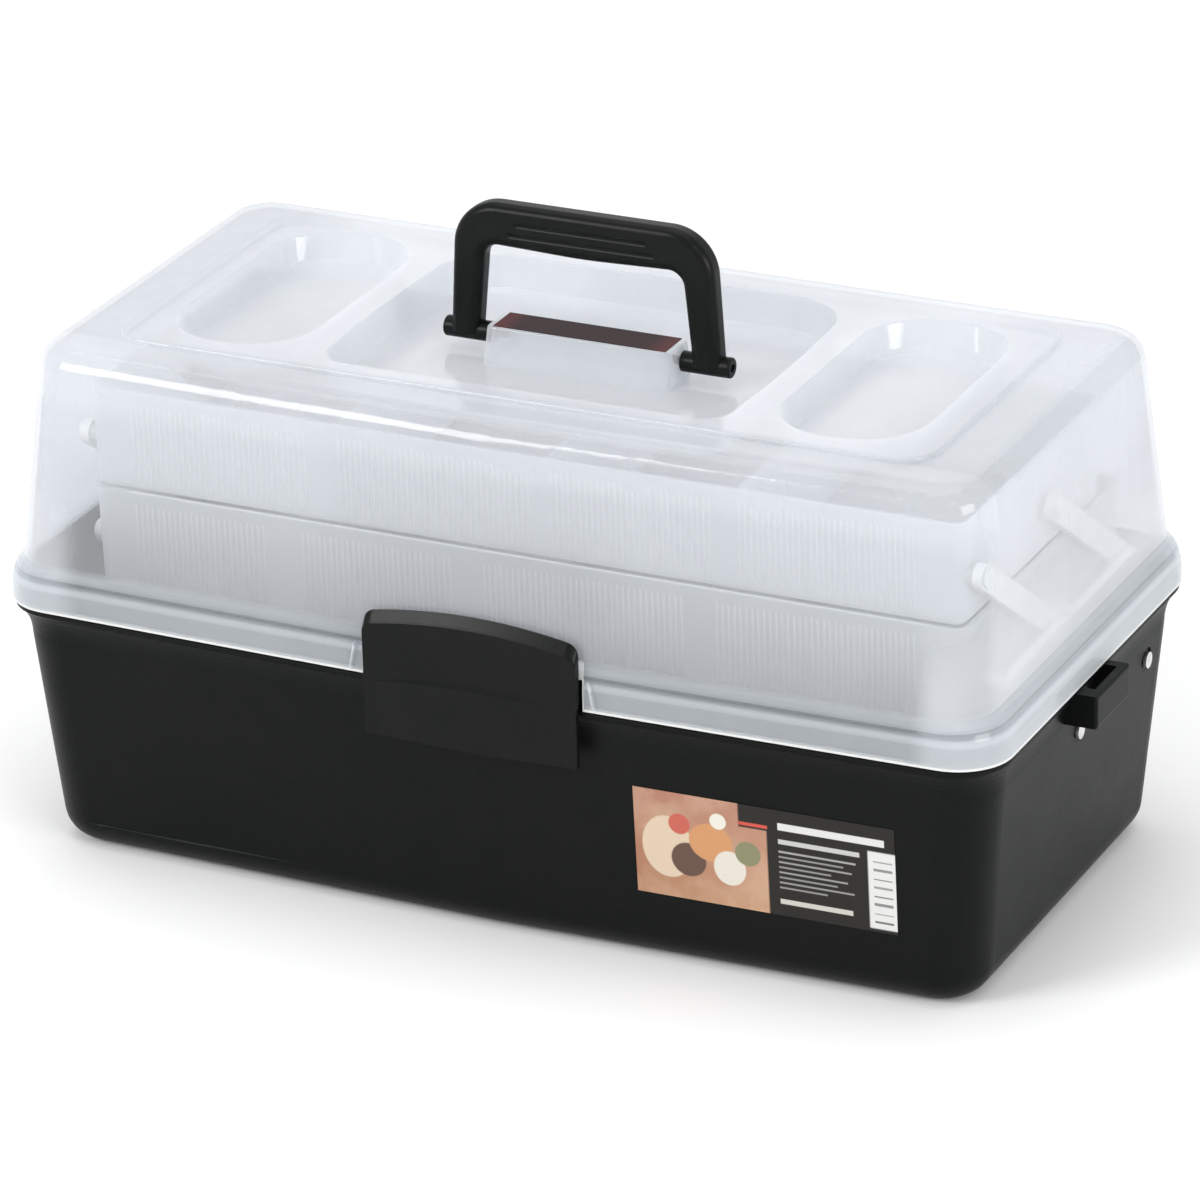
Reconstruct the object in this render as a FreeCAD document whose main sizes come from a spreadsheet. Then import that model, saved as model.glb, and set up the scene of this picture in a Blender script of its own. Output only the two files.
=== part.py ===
import FreeCAD, Part
import math
import os
import Sketcher
from FreeCAD import Vector, Placement, Rotation

# Toolbox with a black tub, a see-through lid, two lifting trays on parallel
# arms, a front latch and a folding carrying handle.
# Frame: +X to the right, -Y to the front (latch side), +Z up, z = 0 on the floor.

os.makedirs("parts", exist_ok=True)
doc = FreeCAD.newDocument("toolbox")

# ---------------------------------------------------------------- sizes (mm)
CELLS = [
    ("frame_shift", -0.9, "moves the whole box so that the origin is under its middle"),
    ("floor_half_len", 234.2, "tub outside, half length at the floor"),
    ("floor_half_wid", 112.8, "tub outside, half width at the floor"),
    ("floor_corner", 24.0, "tub outside corner radius in plan"),
    ("wall_half_len", 243.7, "tub outside, half length under the flare"),
    ("wall_half_wid", 120.05, "tub outside, half width under the flare"),
    ("flare_start", 106.0, "height where the flare under the rim starts"),
    ("ledge_top", 124.0, "height of the ledge that the lid skirt comes down to"),
    ("ledge_half_len", 249.2, "ledge, half length"),
    ("ledge_half_wid", 125.4, "ledge, half width"),
    ("stand_half_len", 244.4, "upstand inside the skirt, half length outside at its foot"),
    ("stand_half_wid", 120.7, "upstand inside the skirt, half width outside at its foot"),
    ("stand_lean", 2.0, "how far the upstand leans in at its top"),
    ("stand_top", 142.0, "top of the upstand"),
    ("tub_wall", 2.8, "tub wall"),
    ("bow", 4.6, "how far the front wall comes forward at its middle"),
    ("bottom_round", 16.0, "rounding of the tub's bottom edge"),
    ("skirt_bottom", 125.2, "lower edge of the lid skirt"),
    ("skirt_half_len", 250.0, "lid skirt, half length"),
    ("skirt_half_wid", 126.5, "lid skirt, half width"),
    ("skirt_corner", 26.0, "lid skirt corner radius"),
    ("lid_wall", 2.4, "lid wall"),
    ("lid_top", 249.8, "top of the lid outside the panel"),
    ("lid_half_len", 235.4, "lid half length at the top"),
    ("lid_half_wid", 110.3, "lid half width at the top"),
    ("lid_round", 13.0, "rounding of the lid's top edge"),
    ("panel_top", 252.2, "top of the raised panel"),
    ("panel_half_len", 203.0, "panel half length"),
    ("panel_front", -88.0, "panel front edge"),
    ("panel_back", 87.0, "panel back edge"),
    ("oval_x", 153.0, "centre of the side recesses"),
    ("oval_half_wid", 34.0, "side recess half width at the top"),
    ("oval_half_len", 74.3, "side recess half length at the top"),
    ("oval_floor", 239.0, "side recess floor"),
    ("well_half_len", 101.0, "handle well half length"),
    ("well_front", -78.0, "handle well front"),
    ("well_back", 74.0, "handle well back"),
    ("well_floor", 235.4, "handle well floor"),
    ("boss_half_len", 47.0, "half length of the boss between the handle feet"),
    ("boss_front", -12.4, "boss front at its top"),
    ("boss_back", 7.4, "boss back at its top"),
    ("pivot_y", -1.5, "handle pivot"),
    ("pivot_z", 245.0, "handle pivot height"),
    ("barrel_rad", 4.9, "handle foot barrel radius"),
    ("barrel_in", 47.8, "inner end of a handle foot"),
    ("barrel_out", 72.4, "outer end of a handle foot"),
    ("handle_thick", 13.0, "handle thickness front to back"),
    ("handle_top", 310.1, "top of the upright handle"),
    ("handle_pin_rad", 2.0, "handle pin radius"),
    ("hinge_y", 133.0, "lid hinge axis"),
    ("hinge_z", 121.5, "lid hinge axis height"),
    ("hinge_x", 130.0, "middle of each hinge"),
    ("knuckle_rad", 5.0, "hinge knuckle radius"),
    ("hinge_pin_rad", 2.0, "hinge pin radius"),
    ("latch_half_wid", 53.3, "latch half width"),
    ("latch_axis_y", -130.2, "latch pivot"),
    ("latch_axis_z", 153.5, "latch pivot height"),
    ("latch_rod_rad", 1.1, "latch rod radius"),
    ("latch_bottom", 98.0, "latch lower edge"),
    ("latch_top", 162.3, "latch top at its middle"),
    ("rivet_y", -4.9, "front rivet of an arm bracket"),
    ("rivet_z", 95.9, "height of the bracket rivets"),
    ("arm_pitch", 84.0, "distance between the front and the rear arm of a pair"),
    ("low_base_y", 8.0, "front lower arm, pivot on the bracket"),
    ("low_base_z", 138.5, "lower arm pivot height on the bracket"),
    ("low_tray_y", -53.0, "front lower arm, pivot on the lower tray"),
    ("low_tray_z", 137.0, "height of the lower arm pivot on the lower tray"),
    ("up_base_y", 18.0, "front upper arm, pivot on the lower tray"),
    ("up_base_z", 133.6, "height of the upper arm pivot on the lower tray"),
    ("up_tray_y", -73.0, "front upper arm, pivot on the upper tray"),
    ("up_tray_z", 196.0, "height of the upper arm pivot on the upper tray"),
    ("arm_end_rad", 6.0, "arm end radius"),
    ("arm_thick", 4.5, "arm thickness"),
    ("upper_arm_x", 221.5, "inner face of the upper arms"),
    ("lower_arm_x", 228.0, "inner face of the lower arms"),
    ("bracket_x", 235.0, "inner face of the arm brackets"),
    ("bracket_thick", 3.0, "arm bracket thickness"),
    ("arm_pin_rad", 2.5, "arm pin radius"),
    ("pin_play", 0.08, "running clearance on a pin"),
    ("tray_half_len", 219.3, "tray half length at the top"),
    ("tray_front", -82.0, "tray front at the top"),
    ("low_tray_back", 107.5, "lower tray back at the top"),
    ("up_tray_back", 84.0, "upper tray back at the top"),
    ("low_tray_bottom", 122.0, "underside of the lower tray"),
    ("low_tray_top", 172.4, "top of the lower tray"),
    ("up_tray_bottom", 173.4, "underside of the upper tray"),
    ("up_tray_top", 222.5, "top of the upper tray"),
    ("tray_wall", 1.8, "tray wall"),
    ("tray_draft", 1.2, "how much smaller a tray is at its underside, each side"),
    ("divider_thick", 1.6, "divider thickness"),
    ("lug_out", 260.0, "outer face of a strap lug"),
    ("lug_bar", 4.2, "strap lug bar thickness"),
    ("lug_front", -26.0, "front of a strap lug"),
    ("lug_back", 14.0, "back of a strap lug"),
    ("lug_low", 108.0, "underside of a strap lug"),
    ("label_x0", 75.0, "front label, left edge"),
    ("label_x1", 201.0, "front label, right edge"),
    ("label_z0", 35.5, "front label, lower edge"),
    ("label_z1", 89.0, "front label, upper edge"),
    ("strip_half_len", 43.5, "boss label half length"),
    ("strip_wid", 18.0, "boss label width"),
    ("label_thick", 0.3, "label thickness"),
]
sheet = doc.addObject("Spreadsheet::Sheet", "Sizes")
for i, (alias, value, note) in enumerate(CELLS, 1):
    sheet.set("A%d" % i, note)
    sheet.set("B%d" % i, str(value))
    sheet.setAlias("B%d" % i, alias)
doc.recompute()


def S(alias):
    return float(sheet.get(alias))


def expr(text):
    # "wall + 2*play" with sheet names turned into sheet references
    out, word = "", ""
    names = {c[0] for c in CELLS}
    for ch in text + " ":
        if ch.isalnum() or ch == "_":
            word += ch
        else:
            out += ("Sizes." + word) if word in names else word
            out += ch
            word = ""
    return out.strip()


nodes = []            # objects that are written out, each with its own Label


def keep(obj, label):
    obj.Label = label
    nodes.append(obj)
    return obj


def feature(label, shape, final=True):
    obj = doc.addObject("Part::Feature", label)
    obj.Shape = shape
    if final:
        obj.Placement = Placement(Vector(0, S("frame_shift"), 0), Rotation())
        keep(obj, label)
    return obj


def shifted(obj):
    # every finished sub-part sits in the same frame, moved by the frame shift
    obj.setExpression("Placement.Base.y", "Sizes.frame_shift")
    return obj


# ------------------------------------------------------------ plan outlines
def bowed_ring(z, a, b, r, bow, big=260.0):
    """Rounded rectangle whose front edge comes forward to its middle."""
    t = math.atan2(bow, a - r)
    n = Vector(math.sin(t), -math.cos(t), 0)
    edges = []

    def P(x, y):
        return Vector(x, y, z)

    def arc(cx, cy, rad, a0, a1):
        am = 0.5 * (a0 + a1)
        pts = [P(cx + rad * math.cos(q), cy + rad * math.sin(q)) for q in (a0, am, a1)]
        edges.append(Part.Arc(*pts).toShape())
        return pts[0], pts[2]

    h = math.pi / 2
    s0, e0 = arc(a - r, b - r, r, 0, h)
    s1, e1 = arc(-a + r, b - r, r, h, 2 * h)
    edges.insert(1, Part.LineSegment(e0, s1).toShape())
    s2, e2 = arc(-a + r, -b + r, r, 2 * h, 3 * h - t)
    edges.insert(3, Part.LineSegment(e1, s2).toShape())
    # front: two straight halves with a large arc between them
    xl = -big * math.sin(t)
    yl = e2.y - math.tan(t) * (xl - e2.x)
    yc = yl + big * math.cos(t)
    edges.append(Part.LineSegment(e2, P(xl, yl)).toShape())
    edges.append(Part.Arc(P(xl, yl), P(0, yc - big), P(-xl, yl)).toShape())
    s3 = P(a - r + r * n.x, -b + r + r * n.y)
    edges.append(Part.LineSegment(P(-xl, yl), s3).toShape())
    am = 0.5 * (3 * h + t + 4 * h)
    edges.append(Part.Arc(s3, P(a - r + r * math.cos(am), -b + r + r * math.sin(am)),
                          P(a, -b + r)).toShape())
    edges.append(Part.LineSegment(P(a, -b + r), s0).toShape())
    return Part.Wire(edges)


def ring(z, x0, x1, y0, y1, r):
    """Plain rounded rectangle."""
    P = lambda x, y: Vector(x, y, z)
    k = r * (1 - math.sqrt(0.5))
    e = [
        Part.LineSegment(P(x0 + r, y0), P(x1 - r, y0)).toShape(),
        Part.Arc(P(x1 - r, y0), P(x1 - k, y0 + k), P(x1, y0 + r)).toShape(),
        Part.LineSegment(P(x1, y0 + r), P(x1, y1 - r)).toShape(),
        Part.Arc(P(x1, y1 - r), P(x1 - k, y1 - k), P(x1 - r, y1)).toShape(),
        Part.LineSegment(P(x1 - r, y1), P(x0 + r, y1)).toShape(),
        Part.Arc(P(x0 + r, y1), P(x0 + k, y1 - k), P(x0, y1 - r)).toShape(),
        Part.LineSegment(P(x0, y1 - r), P(x0, y0 + r)).toShape(),
        Part.Arc(P(x0, y0 + r), P(x0 + k, y0 + k), P(x0 + r, y0)).toShape(),
    ]
    return Part.Wire(e)


def loft(wires):
    return Part.makeLoft(wires, True, True)


def edges_at(shape, z, tol=0.01):
    out = []
    for e in shape.Edges:
        bb = e.BoundBox
        if abs(bb.ZMin - z) < tol and abs(bb.ZMax - z) < tol:
            out.append(e)
    return out


def box(x0, x1, y0, y1, z0, z1):
    return Part.makeBox(x1 - x0, y1 - y0, z1 - z0, Vector(x0, y0, z0))


def cyl_x(x0, x1, y, z, r):
    return Part.makeCylinder(r, x1 - x0, Vector(x0, y, z), Vector(1, 0, 0))


def prism_x(points, x0, x1):
    """Closed (y, z) outline pushed along X."""
    w = Part.makePolygon([Vector(x0, y, z) for y, z in points + points[:1]])
    return Part.Face(w).extrude(Vector(x1 - x0, 0, 0))


def hull_wire(points, r, x):
    """Outline at distance r round a convex polygon of (y, z) points, given
    counter-clockwise seen from +X."""
    n = len(points)
    edges, starts, ends = [], [], []
    for i in range(n):
        y0, z0 = points[i]
        y1, z1 = points[(i + 1) % n]
        L = math.hypot(y1 - y0, z1 - z0)
        ny, nz = (z1 - z0) / L, -(y1 - y0) / L
        starts.append(Vector(x, y0 + r * ny, z0 + r * nz))
        ends.append(Vector(x, y1 + r * ny, z1 + r * nz))
    for i in range(n):
        edges.append(Part.LineSegment(starts[i], ends[i]).toShape())
        j = (i + 1) % n
        c = Vector(x, points[j][0], points[j][1])
        d0, d1 = ends[i] - c, starts[j] - c
        m = d0 + d1
        if m.Length < 1e-6:
            m = Vector(0, -d0.z, d0.y)
            # half turn: the middle lies beyond the end, away from the bar
            p = Vector(0, points[j][0] - points[i][0], points[j][1] - points[i][1])
            if m.dot(p) < 0:
                m = m * -1
        m.normalize()
        edges.append(Part.Arc(ends[i], c + m * r, starts[j]).toShape())
    return Part.Wire(edges)


# ------------------------------------------------------------------ the tub
SIDES = ((1, "right"), (-1, "left"))
w = S("tub_wall")
rc = S("floor_corner")
bow = S("bow")
fz, lz = S("flare_start"), S("ledge_top")
secs = [bowed_ring(0, S("floor_half_len"), S("floor_half_wid"), rc, bow + 0.3),
        bowed_ring(fz, S("wall_half_len"), S("wall_half_wid"), rc + 0.5, bow)]
for k in (0.2, 0.4, 0.58, 0.74, 0.88, 1.0):
    # hollow quarter-round flare, steepest just under the ledge
    g = 1 - math.sqrt(max(0.0, 1 - (0.93 * k) ** 2))
    g /= 1 - math.sqrt(1 - 0.93 ** 2)
    secs.append(bowed_ring(fz + (lz - 1.6 - fz) * k,
                           S("wall_half_len") + (S("ledge_half_len") - S("wall_half_len")) * g,
                           S("wall_half_wid") + (S("ledge_half_wid") - S("wall_half_wid")) * g,
                           rc + 0.5 + 1.2 * g, bow))
secs.append(bowed_ring(lz, S("ledge_half_len"), S("ledge_half_wid"), rc + 1.7, bow))
tub_out = loft(secs)
tub_out = tub_out.makeFillet(S("bottom_round"), edges_at(tub_out, 0))
sl = S("stand_lean")
stand = loft([bowed_ring(lz - 6, S("stand_half_len"), S("stand_half_wid"), rc - 0.5, bow),
              bowed_ring(S("stand_top") - 9, S("stand_half_len") - 0.4, S("stand_half_wid") - 0.4, rc - 0.5, bow),
              bowed_ring(S("stand_top"), S("stand_half_len") - sl, S("stand_half_wid") - sl, rc - 0.5, bow)])
cav_z = 3.0
cav_a0 = S("floor_half_len") - w + 0.25
cav_b0 = S("floor_half_wid") - w + 0.2
cavity = loft([bowed_ring(cav_z, cav_a0, cav_b0, rc - w, bow + 0.3),
               bowed_ring(fz, S("wall_half_len") - w, S("wall_half_wid") - w, rc - w, bow),
               bowed_ring(S("stand_top") + 1, S("stand_half_len") - sl - 2.4, S("stand_half_wid") - sl - 2.4,
                          rc - w, bow)])
cavity = cavity.makeFillet(S("bottom_round") - w, edges_at(cavity, cav_z))
tub = tub_out.fuse(stand).cut(cavity)

outside = tub_out.fuse(stand)

# rib on the front wall that the latch hooks under
strike = box(-30, 30, -(S("ledge_half_wid") + bow) - 0.1, -118, 114.5, 118.0)
tub = tub.fuse(strike).cut(cavity)

# strap lug on each end: a bar held off the wall at both ends, so a strap can pass behind it
for sx, side in SIDES:
    xo, xb = S("lug_out"), S("lug_out") - S("lug_bar")
    y0, y1, z0, z1 = S("lug_front"), S("lug_back"), S("lug_low"), lz
    blank = box(241.5, xo, y0, y1, z0, z1)
    blank = blank.makeFillet(1.5, [e for e in blank.Edges if abs(e.BoundBox.XMin - xo) < 0.01
                                   and abs(e.BoundBox.XMax - xo) < 0.01])
    lug = blank.cut(box(240.0, xb, y0 + 8, y1 - 5, z0 - 1, z1 + 1))
    if sx < 0:
        lug = lug.mirror(Vector(0, 0, 0), Vector(1, 0, 0))
    lug = lug.cut(outside)
    feature("strap_lug_" + side, lug)

# outer knuckles of the two hinges, each on a web to the back wall
hy, hz, kr = S("hinge_y"), S("hinge_z"), S("knuckle_rad")
for sx, side in SIDES:
    both = []
    for off in (-16.0, 16.0):
        xc = sx * S("hinge_x") + off
        kn = cyl_x(xc - 5, xc + 5, hy, hz, kr)
        web = prism_x([(118.5, 100), (119.8, 100), (hy + 3.2, hz - 3.84), (hy - 2, hz + 2.2),
                       (118.5, hz + 2.2)], xc - 5, xc + 5)
        kn = kn.fuse(web).cut(outside)
        kn = kn.cut(cyl_x(xc - 8, xc + 8, hy, hz, S("hinge_pin_rad") + 0.02)).removeSplitter()
        both.append(kn)
    feature("tub_knuckles_" + side, Part.makeCompound(both))

# rivet holes for the arm brackets, each in a shallow dimple
rv = [(S("rivet_y"), S("rivet_z")), (S("rivet_y") + S("arm_pitch"), S("rivet_z"))]
for sx in (1, -1):
    for y, z in rv:
        x0, x1 = (236.0, 250.0) if sx > 0 else (-250.0, -236.0)
        tub = tub.cut(cyl_x(x0, x1, y, z, 2.3))
        x0, x1 = (242.2, 250.0) if sx > 0 else (-250.0, -242.2)
        tub = tub.cut(cyl_x(x0, x1, y, z, 6.0))
tub = tub.removeSplitter()
feature("base_tub", tub)


# ------------------------------------------------------------------ the lid
lw = S("lid_wall")


def lid_sections(off, z0, ztop):
    """Outline of the lid at each height; off is the wall taken away."""
    sa, sb = S("skirt_half_len"), S("skirt_half_wid")
    a0, b0 = 242.75, 124.75          # foot of the wall, above the shoulder
    rows = [(z0, sa, sb, 26.0), (134.0, sa - 0.2, sb - 0.05, 26.0)]
    for z, k in ((138.5, 0.12), (141.5, 0.28), (143.8, 0.52), (145.4, 0.78), (147.4, 1.0)):
        rows.append((z, sa - 0.2 + (a0 - sa + 0.2) * k, sb - 0.05 + (b0 - sb + 0.05) * k,
                     26.0 - 1.2 * k))
    rows.append((ztop, S("lid_half_len"), S("lid_half_wid"), 23.3))
    out = []
    for z, a, b, r in rows:
        zz = z
        if off and z > 135 and z < 148:
            zz = z - 0.75 * off
        out.append(bowed_ring(zz, a - off, b - off, r - off, bow - 0.2))
    return out


lt = S("lid_top")
outer = loft(lid_sections(0.0, S("skirt_bottom"), lt))
outer = outer.makeFillet(S("lid_round"), edges_at(outer, lt))
inner = loft(lid_sections(lw, S("skirt_bottom") - 1, lt - lw))
inner = inner.makeFillet(S("lid_round") - lw, edges_at(inner, lt - lw))

pt, pl = S("panel_top"), S("panel_half_len")
pf, pb = S("panel_front"), S("panel_back")
panel = loft([ring(lt - 3, -pl - 0.8, pl + 0.8, pf - 0.8, pb + 0.8, 18.8),
              ring(pt, -pl, pl, pf, pb, 18.0)])
panel = panel.makeFillet(1.0, edges_at(panel, pt))
panel_in = loft([ring(lt - lw - 3, -pl + lw, pl - lw, pf + lw, pb - lw, 18 - lw),
                 ring(pt - lw, -pl + lw, pl - lw, pf + lw, pb - lw, 18 - lw)])
outer = outer.fuse(panel)
inner = inner.fuse(panel_in)


def side_recess(sx, grow):
    """Stadium at the top, flat floor, its two ends sloping in more than its sides."""
    cx = sx * S("oval_x") - sx * 0.8
    cy = -1.0
    hw, hl = S("oval_half_wid") + 0.8 + grow, S("oval_half_len") + grow
    zf = S("oval_floor") - grow
    fw, fl = hw - 4.2, hl - 8.5
    return loft([ring(zf, cx - fw + 1.6, cx + fw - 1.6, cy - fl + 2.0, cy + fl - 2.0, fw - 10.0),
                 ring(zf + 2.0, cx - fw, cx + fw, cy - fl, cy + fl, fw - 8.5),
                 ring(pt - 0.8, cx - hw + 0.35, cx + hw - 0.35, cy - hl + 0.5, cy + hl - 0.5, hw - 3.4),
                 ring(pt, cx - hw - 0.2, cx + hw + 0.2, cy - hl - 0.2, cy + hl + 0.2, hw - 2.8),
                 ring(pt + 6, cx - hw - 1.4, cx + hw + 1.4, cy - hl - 1.4, cy + hl + 1.4, hw - 1.6)])


def well(grow):
    """Handle well: wide rounded back corners, tighter front corners."""
    L, f, b = S("well_half_len"), S("well_front"), S("well_back")
    zf = S("well_floor") - grow

    def cut(z, d):
        """Outline d inside the top edge."""
        x, y0, y1 = L + grow - d, f - grow + d, b + grow - d
        r0, r1 = 13.0 + grow - 0.4 * d, 29.0 + grow - 0.4 * d
        P = lambda px, py: Vector(px, py, z)
        q = math.sqrt(0.5)
        bulge = 1.6
        e = [Part.LineSegment(P(-x + r0, y0), P(x - r0, y0)).toShape(),
             Part.Arc(P(x - r0, y0), P(x - r0 + r0 * q, y0 + r0 - r0 * q), P(x, y0 + r0)).toShape(),
             Part.Arc(P(x, y0 + r0), P(x + bulge, 0.5 * (y0 + r0 + y1 - r1)), P(x, y1 - r1)).toShape(),
             Part.Arc(P(x, y1 - r1), P(x - r1 + r1 * q, y1 - r1 + r1 * q), P(x - r1, y1)).toShape(),
             Part.LineSegment(P(x - r1, y1), P(-x + r1, y1)).toShape(),
             Part.Arc(P(-x + r1, y1), P(-x + r1 - r1 * q, y1 - r1 + r1 * q), P(-x, y1 - r1)).toShape(),
             Part.Arc(P(-x, y1 - r1), P(-x - bulge, 0.5 * (y0 + r0 + y1 - r1)), P(-x, y0 + r0)).toShape(),
             Part.Arc(P(-x, y0 + r0), P(-x + r0 - r0 * q, y0 + r0 - r0 * q), P(-x + r0, y0)).toShape()]
        return Part.Wire(e)

    return loft([cut(zf, 6.2), cut(zf + 2.2, 4.0), cut(pt - 0.8, 0.35), cut(pt, -0.2), cut(pt + 6, -1.4)])


def boss(shrink):
    L, f, b = S("boss_half_len"), S("boss_front"), S("boss_back")
    zf = S("well_floor") - 4
    return loft([ring(zf, -L + shrink, L - shrink, f - 7 + shrink, b + 2.5 - shrink, 3.2 - shrink),
                 ring(pt - shrink, -L + shrink, L - shrink, f + shrink, b - shrink, 3.0 - shrink)])


b_out = boss(0.0)
b_out = b_out.makeFillet(1.2, edges_at(b_out, pt))
pockets = well(0.0).cut(b_out)
pockets_in = well(lw).cut(boss(2.2))
for sx in (1, -1):
    pockets = pockets.fuse(side_recess(sx, 0.0))
    pockets_in = pockets_in.fuse(side_recess(sx, lw))
lid = outer.cut(pockets).cut(inner.cut(pockets_in))

# ribs that stiffen the boss ends, where the handle pins go in
for sx in (1, -1):
    x0, x1 = (38.0, 46.0) if sx > 0 else (-46.0, -38.0)
    lid = lid.fuse(box(x0, x1, -6.5, 4.5, 239.0, 250.5).common(boss(1.0)))
for sx in (1, -1):
    x0, x1 = (40.0, 50.0) if sx > 0 else (-50.0, -40.0)
    lid = lid.cut(cyl_x(x0, x1, S("pivot_y"), S("pivot_z"), S("handle_pin_rad") + 0.02))

# notch in the skirt for the latch, and the two ears that carry its rod
lh = S("latch_half_wid")
for sx in (1, -1):                       # a slanted rib on the skirt each side of the latch
    slant = [(sx * (lh + 4.6), 140.5), (sx * (lh + 5.6), 140.5), (sx * (lh + 8.2), 127.6), (sx * (lh + 7.0), 127.6)]
    slant = Part.makePolygon([Vector(x, -131.5, z) for x, z in slant + slant[:1]])
    lid = lid.fuse(Part.Face(slant).extrude(Vector(0, 2.4, 0)).cut(inner))
lid = lid.cut(box(-lh - 1.6, lh + 1.6, -140, -116, S("skirt_bottom") - 2, 140.0))
lid = lid.cut(box(-lh - 1.6, lh + 1.6, -140, -128.6, 139.0, 149.6))
ay, az = S("latch_axis_y"), S("latch_axis_z")
for sx in (1, -1):
    x0, x1 = (28.4, 32.6) if sx > 0 else (-32.6, -28.4)
    ear = prism_x([(-126.0, az - 4.0), (-126.0, az + 4.0), (ay, az + 1.9), (ay, az - 1.9)], x0, x1)
    ear = ear.fuse(cyl_x(x0, x1, ay, az, 1.9))
    lid = lid.fuse(ear.cut(inner))
    lid = lid.cut(cyl_x(x0 - 1, x1 + 1, ay, az, S("latch_rod_rad") + 0.02))

# middle knuckle of each hinge, on a strap down the back of the skirt
for sx in (1, -1):
    xc = sx * S("hinge_x")
    kn = cyl_x(xc - 10, xc + 10, hy, hz, kr)
    strap = prism_x([(124.6, 127.5), (128.2, 127.5), (hy - 4.2, hz + 2.7), (hy + 4.4, hz + 2.3), (132.4, 132.0),
                     (129.6, 141.0), (124.6, 145.0)], xc - 10, xc + 10)
    lid = lid.fuse(kn.fuse(strap).cut(inner))
    lid = lid.cut(cyl_x(xc - 11, xc + 11, hy, hz, S("hinge_pin_rad") + S("pin_play")))
lid = lid.removeSplitter()
feature("lid_shell", lid)


# ------------------------------------------------------ primitives with sizes
def cylinder_x(name, rad, x0, x1, y, z):
    """Cylinder along X between x0 and x1, all four given as sheet formulas."""
    c = doc.addObject("Part::Cylinder", name)
    c.setExpression("Radius", expr(rad))
    c.setExpression("Height", expr("(%s) - (%s)" % (x1, x0)))
    c.Placement = Placement(Vector(0, 0, 0), Rotation(Vector(0, 1, 0), 90))
    c.setExpression("Placement.Base.x", expr(x0))
    c.setExpression("Placement.Base.y", expr(y))
    c.setExpression("Placement.Base.z", expr(z))
    return c


def block(name, x0, x1, y0, y1, z0, z1):
    b = doc.addObject("Part::Box", name)
    b.setExpression("Length", expr("(%s) - (%s)" % (x1, x0)))
    b.setExpression("Width", expr("(%s) - (%s)" % (y1, y0)))
    b.setExpression("Height", expr("(%s) - (%s)" % (z1, z0)))
    b.setExpression("Placement.Base.x", expr(x0))
    b.setExpression("Placement.Base.y", expr(y0))
    b.setExpression("Placement.Base.z", expr(z0))
    return b


def group(label, parts):
    f = doc.addObject("Part::MultiFuse", label)
    f.Shapes = parts
    shifted(f)
    return keep(f, label)


def sided(sx, x0, x1):
    """x range on the right or, mirrored, on the left."""
    return (x0, x1) if sx > 0 else ("-(%s)" % x1, "-(%s)" % x0)



# hinge pins
for sx, side in SIDES:
    a, b = ("hinge_x - 20.5", "hinge_x + 20.5") if sx > 0 else ("-hinge_x - 20.5", "-hinge_x + 20.5")
    p = cylinder_x("hinge_pin_" + side, "hinge_pin_rad", a, b, "hinge_y", "hinge_z")
    shifted_y = expr("hinge_y + frame_shift")
    p.setExpression("Placement.Base.y", shifted_y)
    keep(p, "hinge_pin_" + side)

# handle pins: through a foot barrel and into the boss
for sx, side in SIDES:
    a, b = sided(sx, "41.0", "barrel_out - 1.2")
    p = cylinder_x("handle_pin_" + side, "handle_pin_rad", a, b, "pivot_y", "pivot_z")
    p.setExpression("Placement.Base.y", expr("pivot_y + frame_shift"))
    keep(p, "handle_pin_" + side)

# latch rod
p = cylinder_x("latch_rod", "latch_rod_rad", "-40", "40", "latch_axis_y", "latch_axis_z")
p.setExpression("Placement.Base.y", expr("latch_axis_y + frame_shift"))
keep(p, "latch_rod")

# bracket rivets: shank through wall and bracket, a head at each end
for sx, side in SIDES:
    parts = []
    for i, y in enumerate(("rivet_y", "rivet_y + arm_pitch")):
        for nm, r, x0, x1 in (("shank", "2.2", "bracket_x - 0.4", "243.4"),
                              ("head", "3.9", "242.9", "244.3"),
                              ("tail", "3.6", "bracket_x - 1.5", "bracket_x - 0.1")):
            a, b = sided(sx, x0, x1)
            parts.append(cylinder_x("rivet_%s_%s_%d" % (nm, side, i), r, a, b, y, "rivet_z"))
    group("bracket_rivets_" + side, parts)


def pin_pair(label, sx, rows, y0, z):
    """Two like pins one arm pitch apart. rows: (radius, x0, x1)."""
    parts = []
    for i, y in enumerate((y0, y0 + " + arm_pitch")):
        for j, (r, x0, x1) in enumerate(rows):
            a, b = sided(sx, x0, x1)
            parts.append(cylinder_x("%s_%d_%d" % (label, i, j), r, a, b, y, z))
    return group(label, parts)


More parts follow.
